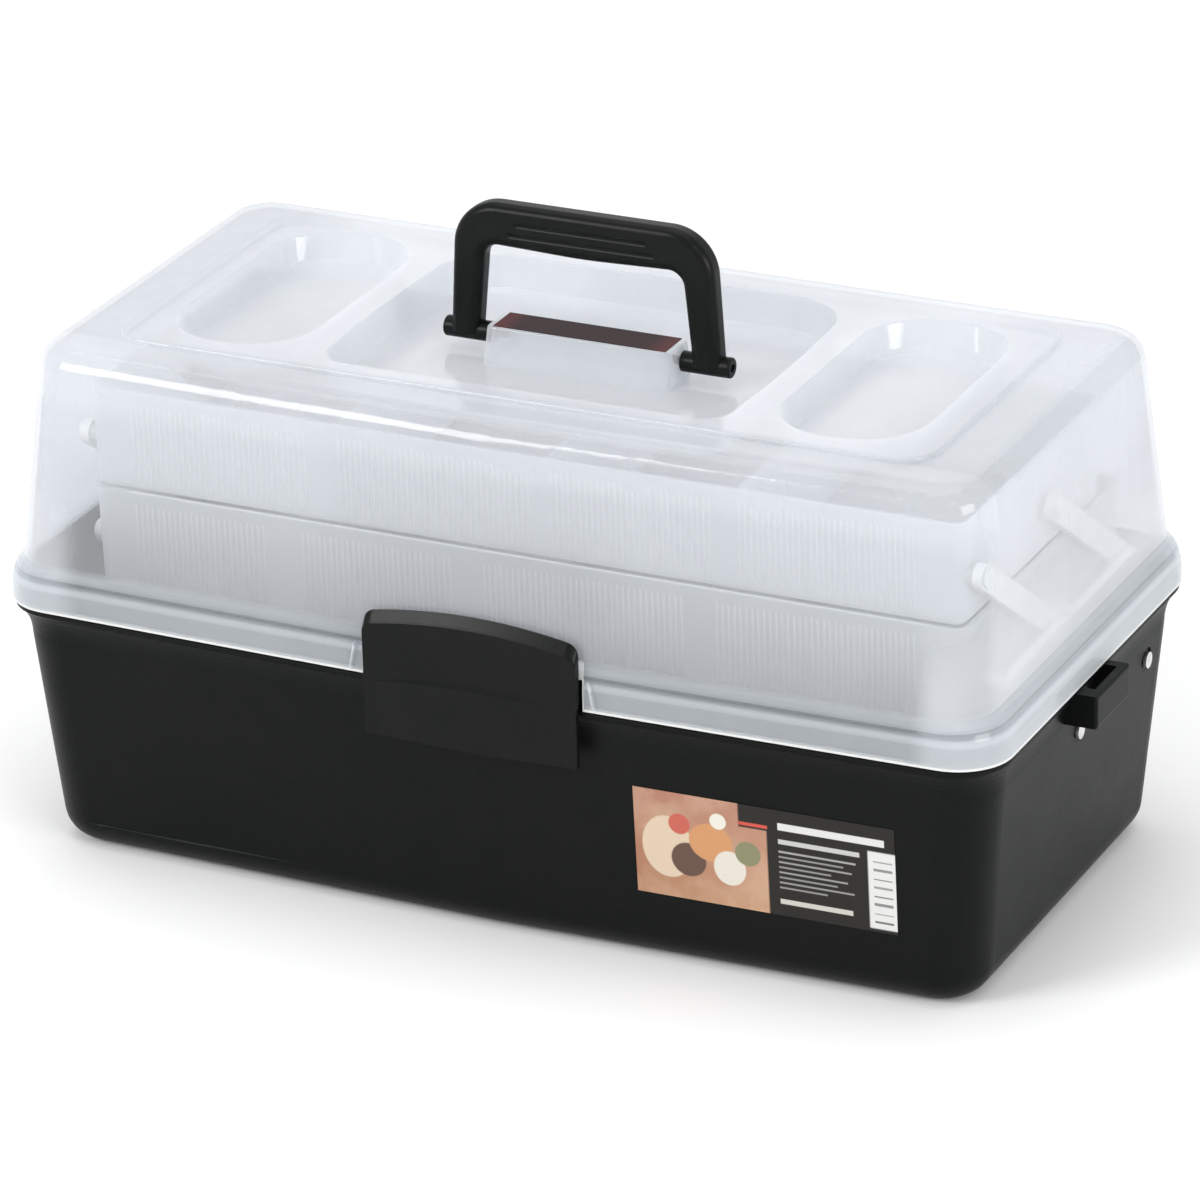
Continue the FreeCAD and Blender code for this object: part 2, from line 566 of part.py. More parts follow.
for sx, side in SIDES:
    # on the bracket, for the lower arms
    pin_pair("bracket_pins_" + side, sx,
             [("arm_pin_rad", "lower_arm_x - 0.6", "bracket_x + bracket_thick"),
              ("4.5", "lower_arm_x - 1.5", "lower_arm_x - 0.2"),
              ("4.2", "lower_arm_x + arm_thick + 0.2", "bracket_x")],
             "low_base_y", "low_base_z")
    # on the lower tray, for the lower arms
    pin_pair("lower_tray_pins_" + side, sx,
             [("3.0", "tray_half_len - 3.4", "lower_arm_x - 0.2"),
              ("arm_pin_rad", "lower_arm_x - 0.4", "lower_arm_x + arm_thick + 0.9"),
              ("4.5", "lower_arm_x + arm_thick + 0.2", "lower_arm_x + arm_thick + 1.5")],
             "low_tray_y", "low_tray_z")
    # on the lower tray, for the upper arms
    pin_pair("upper_arm_pins_" + side, sx,
             [("arm_pin_rad", "tray_half_len - 3.4", "upper_arm_x + arm_thick + 0.9"),
              ("4.5", "upper_arm_x + arm_thick + 0.2", "upper_arm_x + arm_thick + 1.4")],
             "up_base_y", "up_base_z")
    # on the upper tray, for the upper arms
    pin_pair("upper_tray_pins_" + side, sx,
             [("arm_pin_rad", "tray_half_len - 3.4", "upper_arm_x + arm_thick + 0.9"),
              ("4.5", "upper_arm_x + arm_thick + 0.2", "upper_arm_x + arm_thick + 1.4")],
             "up_tray_y", "up_tray_z")


# ------------------------------------------------------- arms: sketched bars
def arm_body(label, sx, y0, z0, y1, z1, xin):
    """A flat bar with round ends and a hole at each end, padded along X.
    y0 z0 and y1 z1 are sheet formulas for the two pivots."""
    val = lambda t: float(cell_sum(t))
    body = doc.addObject("PartDesign::Body", label)
    plane = [f for f in body.Origin.OriginFeatures if f.Role == "YZ_Plane"][0]
    sk = body.newObject("Sketcher::SketchObject", label + "_outline")
    sk.AttachmentSupport = [(plane, "")]
    sk.MapMode = "FlatFace"
    r = S("arm_end_rad")
    c0, c1 = Vector(val(y0), val(z0), 0), Vector(val(y1), val(z1), 0)
    d = (c1 - c0).normalize()
    ang = math.atan2(d.y, d.x)
    n = Vector(-d.y, d.x, 0)
    circ = lambda c: Part.Circle(c, Vector(0, 0, 1), r)
    g0 = sk.addGeometry(Part.ArcOfCircle(circ(c0), ang + math.pi / 2, ang + 1.5 * math.pi), False)
    g1 = sk.addGeometry(Part.ArcOfCircle(circ(c1), ang - math.pi / 2, ang + math.pi / 2), False)
    g2 = sk.addGeometry(Part.LineSegment(c0 + n * r, c1 + n * r), False)
    g3 = sk.addGeometry(Part.LineSegment(c0 - n * r, c1 - n * r), False)
    C = Sketcher.Constraint
    sk.addConstraint(C("Tangent", g0, 1, g2, 1))
    sk.addConstraint(C("Tangent", g0, 2, g3, 1))
    sk.addConstraint(C("Tangent", g1, 2, g2, 2))
    sk.addConstraint(C("Tangent", g1, 1, g3, 2))
    sk.addConstraint(C("Equal", g0, g1))
    i = sk.addConstraint(C("Radius", g0, r))
    sk.setExpression("Constraints[%d]" % i, "Sizes.arm_end_rad")
    h0 = sk.addGeometry(Part.Circle(c0, Vector(0, 0, 1), S("arm_pin_rad") + S("pin_play")), False)
    h1 = sk.addGeometry(Part.Circle(c1, Vector(0, 0, 1), S("arm_pin_rad") + S("pin_play")), False)
    sk.addConstraint(C("Coincident", h0, 3, g0, 3))
    sk.addConstraint(C("Coincident", h1, 3, g1, 3))
    sk.addConstraint(C("Equal", h0, h1))
    i = sk.addConstraint(C("Radius", h0, S("arm_pin_rad") + S("pin_play")))
    sk.setExpression("Constraints[%d]" % i, "Sizes.arm_pin_rad + Sizes.pin_play")
    for g, (ty, tz), c in ((g0, (y0, z0), c0), (g1, (y1, z1), c1)):
        i = sk.addConstraint(C("DistanceX", -1, 1, g, 3, c.x))
        sk.setExpression("Constraints[%d]" % i, expr(ty))
        i = sk.addConstraint(C("DistanceY", -1, 1, g, 3, c.y))
        sk.setExpression("Constraints[%d]" % i, expr(tz))
    off = expr(xin) if sx > 0 else expr("-(%s) - arm_thick" % xin)
    sk.setExpression("AttachmentOffset.Base.z", off)
    pad = body.newObject("PartDesign::Pad", label + "_pad")
    pad.Profile = sk
    pad.setExpression("Length", "Sizes.arm_thick")
    sk.Visibility = False
    shifted(body)
    return keep(body, label)


def cell_sum(text):
    """Value of a short sum of sheet names, such as 'up_base_y + arm_pitch'."""
    total = 0.0
    for term in text.split("+"):
        total += S(term.strip())
    return total


for sx, side in SIDES:
    for pos, add in (("front", ""), ("rear", " + arm_pitch")):
        arm_body("lower_arm_%s_%s" % (pos, side), sx, "low_base_y" + add, "low_base_z",
                 "low_tray_y" + add, "low_tray_z", "lower_arm_x")
        arm_body("upper_arm_%s_%s" % (pos, side), sx, "up_base_y" + add, "up_base_z",
                 "up_tray_y" + add, "up_tray_z", "upper_arm_x")

# ----------------------------------------------------------- arm brackets
for sx, side in SIDES:
    bx, bt = S("bracket_x"), S("bracket_thick")
    pts = [(S("rivet_y"), S("rivet_z")), (S("rivet_y") + S("arm_pitch"), S("rivet_z")),
           (S("low_base_y") + S("arm_pitch"), S("low_base_z")), (S("low_base_y"), S("low_base_z"))]
    plate = Part.Face(hull_wire(pts, 7.5, bx)).extrude(Vector(bt, 0, 0))
    for y, z in pts[:2]:
        plate = plate.fuse(cyl_x(bx, 239.0, y, z, 6.0))
        plate = plate.cut(cyl_x(bx - 1, 240, y, z, 2.25))
    for y, z in pts[2:]:
        plate = plate.cut(cyl_x(bx - 1, 240, y, z, S("arm_pin_rad") + 0.02))
    # lightening window between the four bosses
    win = [(12.0, 108.0), (66.0, 108.0), (76.0, 127.0), (22.0, 127.0)]
    plate = plate.cut(Part.Face(hull_wire(win, 4.0, bx - 1)).extrude(Vector(6, 0, 0)))
    if sx < 0:
        plate = plate.mirror(Vector(0, 0, 0), Vector(1, 0, 0))
    feature("arm_bracket_" + side, plate.removeSplitter())


# ------------------------------------------------------------------ trays
def tray(label, yb, zb, zt, holes):
    L, yf, d, tw = S("tray_half_len"), S("tray_front"), S("tray_draft"), S("tray_wall")
    out = loft([ring(zb, -L + d, L - d, yf + d, yb - d, 6.0), ring(zt, -L, L, yf, yb, 7.0)])
    out = out.makeFillet(2.5, edges_at(out, zb))
    cav = loft([ring(zb + 2.0, -L + d + tw, L - d - tw, yf + d + tw, yb - d - tw, 4.2),
                ring(zt + 0.5, -L + tw, L - tw, yf + tw, yb - tw, 5.2)])
    cav = cav.makeFillet(1.5, edges_at(cav, zb + 2.0))
    # a narrow bead round the top edge
    bead = loft([ring(zt - 2.4, -L - 0.4, L + 0.4, yf - 0.4, yb + 0.4, 7.4),
                 ring(zt, -L - 0.4, L + 0.4, yf - 0.4, yb + 0.4, 7.4)])
    s = out.fuse(bead).cut(cav)
    # bosses for the arm pins on both ends
    for sx in (1, -1):
        for y, z, xo, r in holes:
            x0, x1 = (L - 4.4, xo) if sx > 0 else (-xo, -L + 4.4)
            s = s.fuse(cyl_x(x0, x1, y, z, 5.5))
            x0, x1 = (L - 3.4, xo + 1) if sx > 0 else (-xo - 1, -L + 3.4)
            s = s.cut(cyl_x(x0, x1, y, z, r + 0.02))
    return feature(label, s.removeSplitter())


pr = S("arm_pin_rad")
tray("lower_tray", S("low_tray_back"), S("low_tray_bottom"), S("low_tray_top"),
     [(S("low_tray_y"), S("low_tray_z"), 220.8, 3.0),
      (S("low_tray_y") + S("arm_pitch"), S("low_tray_z"), 220.8, 3.0),
      (S("up_base_y"), S("up_base_z"), 221.2, pr),
      (S("up_base_y") + S("arm_pitch"), S("up_base_z"), 221.2, pr)])
tray("upper_tray", S("up_tray_back"), S("up_tray_bottom"), S("up_tray_top"),
     [(S("up_tray_y"), S("up_tray_z"), 221.2, pr),
      (S("up_tray_y") + S("arm_pitch"), S("up_tray_z"), 221.2, pr)])

# dividers, left to right: unequal compartments, a step apart in the two trays
for t, xs, yb, zb, zt in (("upper", (-95.0, 11.5, 106.0), "up_tray_back", "up_tray_bottom", "up_tray_top"),
                          ("lower", (-118.0, -24.0, 91.0), "low_tray_back", "low_tray_bottom", "low_tray_top")):
    for i, x in enumerate(xs, 1):
        b = block("%s_divider_%d_plate" % (t, i), "%s - divider_thick/2" % x, "%s + divider_thick/2" % x,
                  "tray_front + tray_draft + tray_wall + 0.15", "%s - tray_draft - tray_wall - 0.15" % yb,
                  zb + " + 2.1", zt + " - 4.0")
        b.setExpression("Placement.Base.y", expr("tray_front + tray_draft + tray_wall + 0.15 + frame_shift"))
        # the lower corners clear the rounding between floor and wall
        c = doc.addObject("Part::Chamfer", "%s_divider_%d" % (t, i))
        doc.recompute()
        c.Base = b
        ids = [n + 1 for n, e in enumerate(b.Shape.Edges)
               if abs(e.BoundBox.YMax - e.BoundBox.YMin) < 0.01 and abs(e.BoundBox.ZMax - e.BoundBox.ZMin) < 0.01
               and abs(e.BoundBox.ZMin - b.Shape.BoundBox.ZMin) < 0.01]
        c.Edges = [(n, 2.0, 2.0) for n in ids]
        keep(c, "%s_divider_%d" % (t, i))

# ---------------------------------------------------------------- handle
hb = doc.addObject("PartDesign::Body", "handle")
plane = [f for f in hb.Origin.OriginFeatures if f.Role == "XZ_Plane"][0]
sk = hb.newObject("Sketcher::SketchObject", "handle_outline")
sk.AttachmentSupport = [(plane, "")]
sk.MapMode = "FlatFace"
zt = S("handle_top")
zp = S("pivot_z")
V2 = lambda x, z: Vector(x, z, 0)
# outer edge: right foot, leg, shoulder, top, and the same on the left; each corner is an exact tangent arc
corners = [(68.1, zp, 0), (64.3, zt, 23.0), (-64.3, zt, 23.0), (-68.1, zp, 0),
           (-54.1, zp, 0), (-49.6, 289.7, 7.5), (0.0, 288.1, 260.0), (49.6, 289.7, 7.5), (54.1, zp, 0)]
seg = []
at = []
for n, (x, z, r) in enumerate(corners):
    b = V2(x, z)
    if not r:
        at.append((b, b, None))
        continue
    a = V2(*corners[n - 1][:2]) - b
    c = V2(*corners[(n + 1) % len(corners)][:2]) - b
    a.normalize()
    c.normalize()
    half = math.acos(max(-1.0, min(1.0, a.dot(c)))) / 2
    cut = r / math.tan(half)
    mid = a + c
    mid.normalize()
    centre = b + mid * (r / math.sin(half))
    at.append((b + a * cut, b + c * cut, centre - mid * r))
for n, (enter, leave, mid) in enumerate(at):
    if mid is not None:
        seg.append(Part.Arc(enter, mid, leave))
    seg.append(Part.LineSegment(leave, at[(n + 1) % len(at)][0]))
for g in seg:
    n = sk.addGeometry(g, False)
for n in range(len(seg)):
    sk.addConstraint(Sketcher.Constraint("Block", n))
pad = hb.newObject("PartDesign::Pad", "handle_pad")
pad.Profile = sk
pad.setExpression("Length", "Sizes.handle_thick")
try:
    pad.SideType = "Symmetric"
except Exception:
    pad.Midplane = True
sk.setExpression("AttachmentOffset.Base.z", "-Sizes.pivot_y")
doc.recompute()
rounds = []
for n, e in enumerate(pad.Shape.Edges, 1):
    bb = e.BoundBox
    if bb.YMax - bb.YMin < 0.01 and bb.ZMax > zp + 2:
        rounds.append("Edge%d" % n)
fil = hb.newObject("PartDesign::Fillet", "handle_rounding")
fil.Base = (pad, rounds)
hb.Tip = fil
for r in (4.6, 4.3, 4.0, 3.6, 3.2):
    fil.Radius = r
    doc.recompute()
    if fil.isValid() and hb.Shape.isValid():
        break
hshape = hb.Shape.copy()
for sx in (1, -1):
    x0, x1 = (S("barrel_in"), S("barrel_out")) if sx > 0 else (-S("barrel_out"), -S("barrel_in"))
    c = cyl_x(x0, x1, S("pivot_y"), zp, S("barrel_rad"))
    c = c.makeFillet(1.0, [e for e in c.Edges if abs(abs(e.BoundBox.XMin) - S("barrel_out")) < 0.01
                           and abs(abs(e.BoundBox.XMax) - S("barrel_out")) < 0.01])
    hshape = hshape.fuse(c)
# the legs stop at the barrels: nothing hangs below them
hshape = hshape.cut(box(-80, 80, -20, 20, 230, zp).cut(
    cyl_x(-80, 80, S("pivot_y"), zp, S("barrel_rad"))))
for sx in (1, -1):
    x0, x1 = (46.0, 80.0) if sx > 0 else (-80.0, -46.0)
    hshape = hshape.cut(cyl_x(x0, x1, S("pivot_y"), zp, S("handle_pin_rad") + S("pin_play")))
for zc, x1 in ((301.6, 32.0), (296.2, 36.0)):
    for sy in (-1, 1):
        yg = S("pivot_y") + sy * (S("handle_thick") / 2 + 1.95)
        g = Part.makeCylinder(2.4, 2 * x1, Vector(-x1, yg, zc), Vector(1, 0, 0))
        for xe in (-x1, x1):
            g = g.fuse(Part.makeSphere(2.4, Vector(xe, yg, zc)))
        hshape = hshape.cut(g)
hb.Label = "handle_blank"
feature("handle", hshape.removeSplitter())

# ----------------------------------------------------------------- latch
lb, ltp = S("latch_bottom"), S("latch_top")
yf, yb = -133.9, -130.9                 # front and back of the plate


def arch(y, drop, half=None, z0=None):
    """Front view outline in the plane y: flat below, arched on top, upper corners rounded."""
    hx = lh if half is None else half
    zb = lb if z0 is None else z0
    top = lambda x: ltp - drop - x * x / 532.0
    xc = hx - 6.0
    P = lambda x, z: Vector(x, y, z)
    e = [Part.LineSegment(P(-hx, zb), P(hx, zb)).toShape(),
         Part.LineSegment(P(hx, zb), P(hx, top(xc) - 6.6)).toShape(),
         Part.Arc(P(hx, top(xc) - 6.6), P(hx - 1.7, top(xc) - 2.0), P(xc, top(xc))).toShape(),
         Part.Arc(P(xc, top(xc)), P(0, top(0)), P(-xc, top(xc))).toShape(),
         Part.Arc(P(-xc, top(xc)), P(-hx + 1.7, top(xc) - 2.0), P(-hx, top(xc) - 6.6)).toShape(),
         Part.LineSegment(P(-hx, top(xc) - 6.6), P(-hx, zb)).toShape()]
    return Part.Wire(e)


latch = loft([arch(-129.6, 0.2), arch(-130.5, 0.0), arch(-133.4, 4.4), arch(yf, 5.4, lh - 0.5)])
# thinner below the cap that carries the rod, with a cheek left on each side
latch = latch.cut(box(-70, 70, yb, -120, lb - 1, 128.0))
latch = latch.cut(box(-lh + 2.6, lh - 2.6, yb, -120, 127.0, az - 5.5))
# swelling of the lower half: arched on top, fading out towards both sides
hxl = lh - 0.5


def pad_wire(y, drop):
    top = lambda x: 130.2 - drop - 5.6 * (x / 47.0) ** 2
    P = lambda x, z: Vector(x, y, z)
    return Part.Wire([
        Part.LineSegment(P(-hxl, lb), P(hxl, lb)).toShape(),
        Part.LineSegment(P(hxl, lb), P(hxl, top(hxl))).toShape(),
        Part.Arc(P(hxl, top(hxl)), P(0, top(0)), P(-hxl, top(hxl))).toShape(),
        Part.LineSegment(P(-hxl, top(hxl)), P(-hxl, lb)).toShape()])


swell = loft([pad_wire(yf + 0.6, -0.3), pad_wire(yf - 2.6, 2.6)])
rad = 47.0 ** 2 / (2 * 2.3)
swell = swell.common(Part.makeCylinder(rad, 80, Vector(0, yf - 2.3 + rad, 90), Vector(0, 0, 1)))
latch = latch.fuse(swell)
# the plate is hollowed behind, under the rim of the lid
latch = latch.cut(box(-lh + 2.6, lh - 2.6, yb - 1.2, yb + 1, lb + 14, 119))
# hook under the strike rib
hook = prism_x([(yb - 1.0, 109.2), (-127.6, 111.0), (-127.0, 113.0), (-128.2, 113.8), (yb - 1.0, 113.8)], -27, 27)
latch = latch.fuse(hook)
# rounds behind the cap that close over the rod
for x0, x1 in ((-40.0, -34.0), (-27.0, 27.0), (34.0, 40.0)):
    latch = latch.fuse(prism_x([(-131.0, az - 3.2), (-128.8, az - 1.5), (-128.8, az + 1.5), (-131.0, az + 3.2)], x0, x1))
latch = latch.cut(cyl_x(-40.05, 40.05, ay, az, S("latch_rod_rad") + S("pin_play")))
for sx in (1, -1):                       # clearance round the ears of the lid
    x0, x1 = (27.4, 33.6) if sx > 0 else (-33.6, -27.4)
    latch = latch.cut(box(x0, x1, -132.35, -120, az - 6.5, az + 3.2))
latch = latch.removeSplitter()
feature("latch", latch)

# ---------------------------------------------------------------- labels
# small strip on the boss
s = block("boss_label_plate", "-strip_half_len", "strip_half_len", "-2.6 - strip_wid/2", "-2.6 + strip_wid/2",
          "panel_top", "panel_top + label_thick")
s.setExpression("Placement.Base.y", expr("frame_shift - 2.6 - strip_wid/2"))
keep(s, "boss_label")


def front_y(x, z):
    """Outside of the front wall of the tub."""
    k = z / S("flare_start")
    a = S("floor_half_len") + (S("wall_half_len") - S("floor_half_len")) * k
    b = S("floor_half_wid") + (S("wall_half_wid") - S("floor_half_wid")) * k
    r = rc + 0.5 * k
    bw = bow + 0.3 * (1 - k)
    t = math.atan2(bw, a - r)
    tx = a - r + r * math.sin(t)
    ty = -b + r - r * math.cos(t)
    return ty - math.tan(t) * (tx - abs(x))


def front_plate(x0, x1, z0, z1, gap, thick):
    c = [Vector(x, front_y(x, z), z) for x, z in ((x0, z0), (x1, z0), (x1, z1), (x0, z1))]
    n = (c[1] - c[0]).cross(c[3] - c[0]).normalize()
    # flatten the fourth corner into the plane of the other three
    c[2] = c[2] - n * (c[2] - c[0]).dot(n)
    lift = gap + max(0.0, max((Vector(x, front_y(x, z), z) - c[0]).dot(n)
                              for x in (x0, x1) for z in (z0, z1)))
    c = [p + n * lift for p in c]
    return Part.Face(Part.makePolygon(c + c[:1])).extrude(n * thick)


feature("front_label", front_plate(S("label_x0"), S("label_x1"), S("label_z0"), S("label_z1"), 0.02,
                                   S("label_thick")))

# ---------------------------------------------------------- check and write
doc.recompute()
bad = []
for o in doc.Objects:
    st = set(o.State)
    if "Invalid" in st or "Error" in st:
        bad.append("%s: %s" % (o.Label, o.State))
for o in nodes:
    sh = o.Shape
    if sh.isNull() or not sh.isValid() or not sh.Solids:
        bad.append("%s: null or not valid" % o.Label)
if bad:
    raise RuntimeError("; ".join(bad))
for o in nodes:
    o.Shape.exportStep("parts/%s.step" % o.Label)
bbs = FreeCAD.BoundBox()
for o in nodes:
    bbs.add(o.Shape.BoundBox)
print("nodes", len(nodes), "box", [round(v, 2) for v in (bbs.XMin, bbs.XMax, bbs.YMin, bbs.YMax, bbs.ZMin, bbs.ZMax)])
for o in nodes:
    print("%-26s solids %d vol %.0f" % (o.Label, len(o.Shape.Solids), o.Shape.Volume))
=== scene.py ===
"""Looks for the two-tray toolbox: materials, fine detail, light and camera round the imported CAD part."""
import math
import random

import bmesh
import bpy
from mathutils import Vector, Matrix


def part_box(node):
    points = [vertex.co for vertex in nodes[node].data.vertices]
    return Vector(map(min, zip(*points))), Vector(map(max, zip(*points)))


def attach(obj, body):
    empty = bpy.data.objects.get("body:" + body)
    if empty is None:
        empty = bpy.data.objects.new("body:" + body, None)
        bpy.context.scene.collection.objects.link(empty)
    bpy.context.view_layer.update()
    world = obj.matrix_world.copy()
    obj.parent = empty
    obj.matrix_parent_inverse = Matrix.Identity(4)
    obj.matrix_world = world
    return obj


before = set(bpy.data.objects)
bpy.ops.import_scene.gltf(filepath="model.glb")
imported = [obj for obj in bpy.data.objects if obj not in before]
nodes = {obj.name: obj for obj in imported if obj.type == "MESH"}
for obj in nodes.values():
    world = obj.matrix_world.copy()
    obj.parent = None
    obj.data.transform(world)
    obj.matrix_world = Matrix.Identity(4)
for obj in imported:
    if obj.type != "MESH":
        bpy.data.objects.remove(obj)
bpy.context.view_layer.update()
MM = 0.001
SHIFT = -0.9                # the part's frame_shift, mm
rnd = random.Random(7)
scene = bpy.context.scene


# ------------------------------------------------------------- node helper
class Net:
    """A material's node tree, written as short calls."""

    def __init__(self, name):
        self.mat = bpy.data.materials.new(name)
        self.mat.use_nodes = True
        self.t = self.mat.node_tree
        self.t.nodes.clear()
        self.out = self.t.nodes.new("ShaderNodeOutputMaterial")
        self.tc = self.t.nodes.new("ShaderNodeTexCoord")
        self.pos = self.tc.outputs["Object"]
        self._xyz = None

    def put(self, socket, value):
        if isinstance(value, bpy.types.NodeSocket):
            self.t.links.new(value, socket)
        elif value is not None:
            if hasattr(socket.default_value, "__len__") and not hasattr(value, "__len__"):
                value = [value] * len(socket.default_value)
            if hasattr(value, "__len__") and len(socket.default_value) == 4 and len(value) == 3:
                value = (*value, 1.0)
            socket.default_value = value

    def add(self, kind, **inputs):
        n = self.t.nodes.new(kind)
        for k, v in inputs.items():
            self.put(n.inputs[k.replace("_", " ")], v)
        return n

    def m(self, op, a, b=None, c=None, clamp=False):
        n = self.t.nodes.new("ShaderNodeMath")
        n.operation = op
        n.use_clamp = clamp
        for i, v in enumerate((a, b, c)):
            if v is not None:
                self.put(n.inputs[i], v)
        return n.outputs[0]

    def xyz(self):
        if self._xyz is None:
            self._xyz = self.add("ShaderNodeSeparateXYZ", Vector=self.pos).outputs
        return self._xyz

    def step(self, x, lo, hi, a=0.0, b=1.0, kind="SMOOTHSTEP"):
        n = self.t.nodes.new("ShaderNodeMapRange")
        n.interpolation_type = kind
        n.clamp = True
        for key, v in (("Value", x), ("From Min", lo), ("From Max", hi), ("To Min", a), ("To Max", b)):
            self.put(n.inputs[key], v)
        return n.outputs["Result"]

    def mix(self, fac, a, b, blend="MIX"):
        n = self.t.nodes.new("ShaderNodeMix")
        n.data_type = "RGBA"
        n.blend_type = blend
        n.clamp_factor = True
        self.put(n.inputs[0], fac)
        self.put(n.inputs[6], a)
        self.put(n.inputs[7], b)
        return n.outputs[2]

    def noise(self, scale, detail=2.0, rough=0.5, vec=None, dist=0.0):
        n = self.add("ShaderNodeTexNoise", Vector=vec or self.pos, Scale=scale, Detail=detail,
                     Roughness=rough, Distortion=dist)
        return n.outputs["Fac"]

    def stretch(self, sx, sy, sz, rot=(0, 0, 0)):
        n = self.add("ShaderNodeMapping", Vector=self.pos, Scale=(sx, sy, sz), Rotation=rot)
        return n.outputs[0]

    def bump(self, height, strength, distance, normal=None):
        n = self.add("ShaderNodeBump", Height=height, Strength=strength, Distance=distance)
        if normal is not None:
            self.put(n.inputs["Normal"], normal)
        return n.outputs[0]

    def mixs(self, fac, a, b):
        n = self.t.nodes.new("ShaderNodeMixShader")
        self.put(n.inputs[0], fac)
        self.put(n.inputs[1], a)
        self.put(n.inputs[2], b)
        return n.outputs[0]

    def done(self, surface):
        self.put(self.out.inputs["Surface"], surface)
        return self.mat


def box_mask(net, x0, x1, z0, z1, soft=0.0004):
    """1 inside a rectangle seen from the front, 0 outside."""
    x, z = net.xyz()[0], net.xyz()[2]
    a = net.step(x, x0 - soft, x0 + soft, kind="LINEAR")
    b = net.step(x, x1 - soft, x1 + soft, 1.0, 0.0, kind="LINEAR")
    c = net.step(z, z0 - soft, z0 + soft, kind="LINEAR")
    d = net.step(z, z1 - soft, z1 + soft, 1.0, 0.0, kind="LINEAR")
    return net.m("MULTIPLY", net.m("MULTIPLY", a, b), net.m("MULTIPLY", c, d))


# --------------------------------------------------------------- materials
def moulded(name, dark, light, rough, grain, spec=0.4, scratch=0.25, size=1500.0):
    """Opaque moulded plastic: spark-eroded grain, slow shade changes, faint rub marks."""
    n = Net(name)
    slow = n.noise(9.0, 3.0, 0.55)
    cloud = n.noise(60.0, 4.0, 0.6)
    fine = n.noise(size, 2.0, 0.6)
    coarse = n.noise(size * 0.42, 1.0, 0.5)
    tone = n.m("ADD", n.m("MULTIPLY", slow, 0.55), n.m("MULTIPLY", cloud, 0.45))
    col = n.mix(n.step(tone, 0.35, 0.65), dark, light)
    col = n.mix(n.m("MULTIPLY", n.step(fine, 0.55, 0.75), 0.35), col, [c * 1.9 for c in light])
    rub = n.noise(38.0, 5.0, 0.7, vec=n.stretch(1.0, 1.0, 7.0, (0.2, 0.5, 0.1)))
    rubbed = n.step(rub, 0.60, 0.74)
    col = n.mix(n.m("MULTIPLY", rubbed, scratch * 0.35), col, [c * 2.0 for c in light])
    r = n.m("ADD", n.m("MULTIPLY", n.m("SUBTRACT", cloud, 0.5), 0.10), rough)
    r = n.m("ADD", r, n.m("MULTIPLY", rubbed, -0.06 * scratch / 0.25))
    r = n.m("ADD", r, n.m("MULTIPLY", n.m("SUBTRACT", fine, 0.5), 0.12), clamp=True)
    h = n.m("ADD", n.m("MULTIPLY", fine, 0.6), n.m("MULTIPLY", coarse, 0.8))
    nor = n.bump(h, grain, 0.00022)
    p = n.add("ShaderNodeBsdfPrincipled", Base_Color=col, Roughness=r, Normal=nor)
    p.inputs["IOR"].default_value = 1.49
    p.inputs["Specular IOR Level"].default_value = spec
    return n.done(p.outputs[0])


def milky(name, tint, see, haze, rough, edge=None, ripple=0.05, extra=None):
    """See-through polypropylene: part of the light goes straight on, part is spread by the haze in the wall.
    haze is the share spread at each face, more where the wall is seen edge on."""
    n = Net(name)
    slow = n.noise(7.0, 2.0, 0.5)
    flow = n.noise(26.0, 3.0, 0.55, vec=n.stretch(1.0, 1.0, 0.45))
    fine = n.noise(900.0, 2.0, 0.5)
    facing = n.add("ShaderNodeLayerWeight", Blend=0.5).outputs["Facing"]
    a = n.m("MULTIPLY_ADD", n.m("SUBTRACT", flow, 0.5), 0.10, haze)
    a = n.m("ADD", a, n.m("MULTIPLY", n.m("SUBTRACT", slow, 0.5), 0.06))
    a = n.m("MULTIPLY_ADD", n.m("POWER", facing, 2.6), 0.42, a, clamp=True)
    if edge is not None:
        a = n.m("MAXIMUM", a, edge(n))
    col = n.mix(n.step(slow, 0.3, 0.7), tint, [min(1.0, c * 1.03) for c in tint])
    if extra is not None:
        col, a = extra(n, col, a)
    nor = n.bump(n.m("ADD", n.m("MULTIPLY", flow, 0.9), n.m("MULTIPLY", fine, 0.02)), ripple, 0.004)
    diff = n.add("ShaderNodeBsdfDiffuse", Color=col, Normal=nor).outputs[0]
    through = n.add("ShaderNodeBsdfTranslucent", Color=col, Normal=nor).outputs[0]
    body = n.mixs(0.5, diff, through)
    clear = n.add("ShaderNodeBsdfTransparent", Color=see).outputs[0]
    s = n.mixs(a, clear, body)
    gloss = n.add("ShaderNodeBsdfGlossy", Color=(1, 1, 1), Roughness=rough, Normal=nor).outputs[0]
    f = n.m("MULTIPLY_ADD", n.m("POWER", facing, 5.0), 0.60, 0.032)
    back = n.add("ShaderNodeNewGeometry").outputs["Backfacing"]
    f = n.m("MULTIPLY", f, n.m("SUBTRACT", 1.0, back))
    return n.done(n.mixs(f, s, gloss))


black = moulded("black_polypropylene", (0.0022, 0.0030, 0.0027), (0.0034, 0.0042, 0.0038), 0.40, 0.34, spec=0.115)
black_fine = moulded("black_moulding", (0.0030, 0.0037, 0.0034), (0.0046, 0.0053, 0.0048), 0.30, 0.16, spec=0.14,
                     scratch=0.15, size=2100.0)
white = moulded("white_moulding", (0.88, 0.87, 0.85), (0.93, 0.92, 0.90), 0.38, 0.10, spec=0.5, scratch=0.0)


